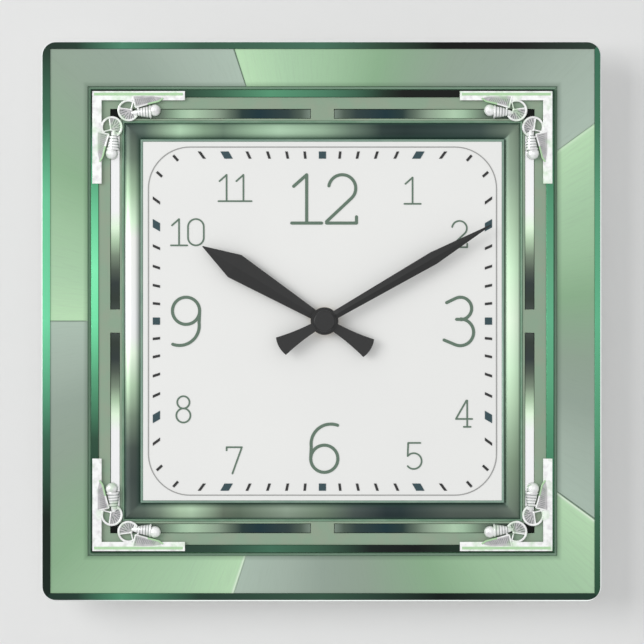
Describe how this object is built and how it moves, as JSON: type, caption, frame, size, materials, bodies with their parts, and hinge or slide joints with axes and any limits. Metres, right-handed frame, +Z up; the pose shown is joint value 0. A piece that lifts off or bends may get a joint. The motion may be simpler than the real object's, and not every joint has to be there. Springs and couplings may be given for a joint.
{
  "type": "wall clock",
  "caption": "Square wall clock with a layered green metal surround, filigree corner brackets, a white square dial, two flared black hands and a quartz movement.",
  "frame": {"origin": "centre of the hanger's hole, on the wall plane", "axes": "+Y into the wall along the hanger's hole, -Y out of the dial towards the viewer, +Z up, +X to the viewer's right"},
  "size_m": [0.273, 0.0352, 0.273],
  "materials": {
    "white_acrylic": "polished white acrylic sheet",
    "dial_white": "satin white dial sheet",
    "rim_lacquer": "aluminium, polished dark green lacquer",
    "brushed_green": "aluminium, radially brushed, pale green anodised",
    "trim_green": "aluminium, polished, green lacquer over a graded tint",
    "sage_lacquer": "aluminium, flat sage green lacquer",
    "bar_polish": "aluminium, mirror polished with a pale to dark green graded tint",
    "fillet_green": "aluminium, satin green lacquer",
    "moulding_green": "aluminium, polished with a pale to dark green graded tint",
    "edge_green": "aluminium, satin grey-green lacquer",
    "line_ink": "grey screen-printed ink",
    "dash_ink": "black screen-printed ink",
    "square_ink": "dark teal screen-printed ink",
    "numeral_ink": "grey-green screen-printed ink",
    "silver_filigree": "cast white metal, silver plated, with pale green tints",
    "black_rubber": "black rubber",
    "yellow_brass": "plain turned brass",
    "black_hand_paint": "stamped aluminium, matte black paint",
    "black_abs": "black moulded ABS",
    "ivory_acetal": "ivory moulded acetal",
    "bright_steel": "zinc-plated steel sheet",
    "ferrite": "sintered magnet on a moulded pinion",
    "board_green": "green solder mask on glass fibre",
    "copper_wire": "enamelled copper wire",
    "cell_jacket": "steel can in a plain blue sleeve"
  },
  "bodies": {
    "root": {"back_panel": "white_acrylic", "dial_plate": "dial_white", "outer_rim": "rim_lacquer", "band_plate_1": "brushed_green", "band_plate_2": "brushed_green", "band_plate_3": "brushed_green", "band_plate_4": "brushed_green", "band_plate_5": "brushed_green", "trim_strip": "trim_green", "slotted_frame": "sage_lacquer", "inlay_bars": "bar_polish", "frame_fillet": "fillet_green", "inner_moulding": "moulding_green", "dial_edge": "edge_green", "dial_border_line": "line_ink", "minute_dashes": "dash_ink", "hour_squares": "square_ink", "hour_numerals": "numeral_ink", "corner_bracket_top_left": "silver_filigree", "corner_bracket_top_right": "silver_filigree", "corner_bracket_bottom_left": "silver_filigree", "corner_bracket_bottom_right": "silver_filigree", "rubber_washer": "black_rubber", "brass_washer": "yellow_brass", "hex_nut": "yellow_brass", "movement_case": "black_abs", "movement_cover": "black_abs", "driver_chip": "black_abs", "middle_plate": "ivory_acetal", "coil_bobbin": "ivory_acetal", "wall_hanger": "bright_steel", "stator": "bright_steel", "battery_contact_positive": "bright_steel", "battery_contact_negative": "bright_steel", "quartz_crystal": "bright_steel", "circuit_board": "board_green", "coil_winding": "copper_wire"},
    "minute_set": {"minute_arbor": "bright_steel", "minute_hand": "black_hand_paint", "hand_cap": "black_hand_paint"},
    "hour_set": {"hour_wheel": "yellow_brass", "hour_hand": "black_hand_paint"},
    "motion_set": {"motion_wheel": "yellow_brass"},
    "knob_set": {"setting_knob": "ivory_acetal"},
    "centre_set": {"centre_wheel": "yellow_brass"},
    "third_set": {"third_wheel": "yellow_brass"},
    "seconds_set": {"seconds_wheel": "yellow_brass"},
    "intermediate_set": {"intermediate_wheel": "yellow_brass"},
    "rotor_set": {"rotor": "ferrite"},
    "cell": {"battery_cell": "cell_jacket"}
  },
  "joints": [
    {"name": "minute_hand_turn", "type": "hinge", "parent": "root", "child": "minute_set", "pos_m": [0, 0, -0.038], "axis": [0, 1, 0], "continuous": true},
    {"name": "hour_hand_turn", "type": "hinge", "parent": "root", "child": "hour_set", "pos_m": [0, 0, -0.038], "axis": [0, 1, 0], "continuous": true},
    {"name": "motion_wheel_turn", "type": "hinge", "parent": "root", "child": "motion_set", "pos_m": [0.005, 0, -0.02934], "axis": [0, 1, 0], "continuous": true},
    {"name": "setting_knob_turn", "type": "hinge", "parent": "root", "child": "knob_set", "pos_m": [0.01319, 0, -0.0236], "axis": [0, 1, 0], "continuous": true},
    {"name": "seconds_wheel_turn", "type": "hinge", "parent": "root", "child": "seconds_set", "pos_m": [0, 0, -0.038], "axis": [0, 1, 0], "continuous": true},
    {"name": "intermediate_wheel_turn", "type": "hinge", "parent": "root", "child": "intermediate_set", "pos_m": [0.00677, 0, -0.03554], "axis": [0, 1, 0], "continuous": true},
    {"name": "rotor_turn", "type": "hinge", "parent": "root", "child": "rotor_set", "pos_m": [0.01366, 0, -0.03675], "axis": [0, 1, 0], "continuous": true},
    {"name": "third_wheel_turn", "type": "hinge", "parent": "root", "child": "third_set", "pos_m": [-0.00883, 0, -0.0329], "axis": [0, 1, 0], "continuous": true},
    {"name": "centre_wheel_turn", "type": "hinge", "parent": "root", "child": "centre_set", "pos_m": [0, 0, -0.038], "axis": [0, 1, 0], "continuous": true},
    {"name": "battery_cell_removal", "type": "slide", "parent": "root", "child": "cell", "axis": [0, 1, 0], "range_m": [0, 0.03]}
  ],
  "couplings": [
    {"joint": "hour_hand_turn", "follows": "minute_hand_turn", "ratio": 0.083333},
    {"joint": "motion_wheel_turn", "follows": "minute_hand_turn", "ratio": -0.33333},
    {"joint": "setting_knob_turn", "follows": "minute_hand_turn", "ratio": 1},
    {"joint": "intermediate_wheel_turn", "follows": "seconds_wheel_turn", "ratio": -5},
    {"joint": "rotor_turn", "follows": "seconds_wheel_turn", "ratio": 30},
    {"joint": "third_wheel_turn", "follows": "seconds_wheel_turn", "ratio": -0.125},
    {"joint": "centre_wheel_turn", "follows": "seconds_wheel_turn", "ratio": 0.016667}
  ]
}
